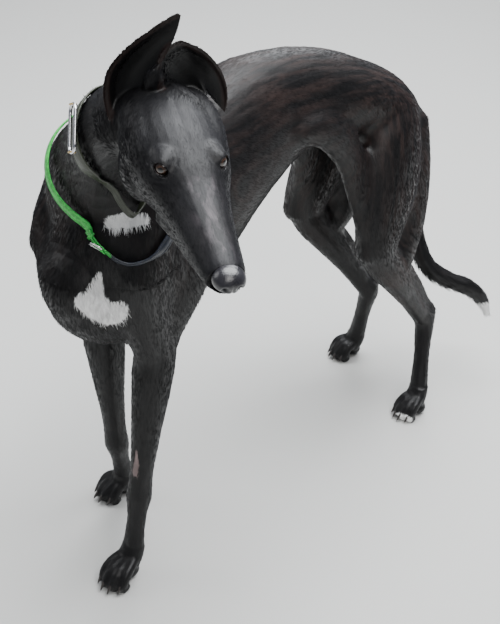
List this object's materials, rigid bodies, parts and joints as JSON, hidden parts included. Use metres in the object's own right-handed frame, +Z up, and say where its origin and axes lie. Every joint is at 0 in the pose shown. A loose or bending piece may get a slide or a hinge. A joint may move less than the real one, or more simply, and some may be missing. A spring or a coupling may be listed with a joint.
{
  "type": "dog",
  "caption": "Life-size standing greyhound, a still figure with its head turned to its left, pricked ears, hanging tail and two collars.",
  "frame": {"origin": "the middle of the bottom of the bounding box, on the floor between the paws", "axes": "+Y from the head end to the tail along the dog's length, +X to the dog's left, +Z up"},
  "size_m": [0.4792, 1.0414, 0.9271],
  "materials": {
    "coat": "short glossy black fur",
    "nose": "moist black skin",
    "eye": "wet brown eye",
    "olive_leather": "smooth leather",
    "green_leather": "smooth leather",
    "collar_metal": "polished"
  },
  "bodies": {
    "root": {"torso": "coat", "neck": "coat", "head": "coat", "ear_left": "coat", "ear_right": "coat", "foreleg_left": "coat", "foreleg_right": "coat", "hindleg_left": "coat", "hindleg_right": "coat", "forepaw_left": "coat", "forepaw_right": "coat", "hindpaw_left": "coat", "hindpaw_right": "coat", "tail_upper": "coat", "tail_lower": "coat", "nose": "nose", "eye_left": "eye", "eye_right": "eye", "collar_upper": "olive_leather", "collar_lower": "green_leather", "collar_ring": "collar_metal", "collar_buckle": "collar_metal"}
  },
  "joints": []
}
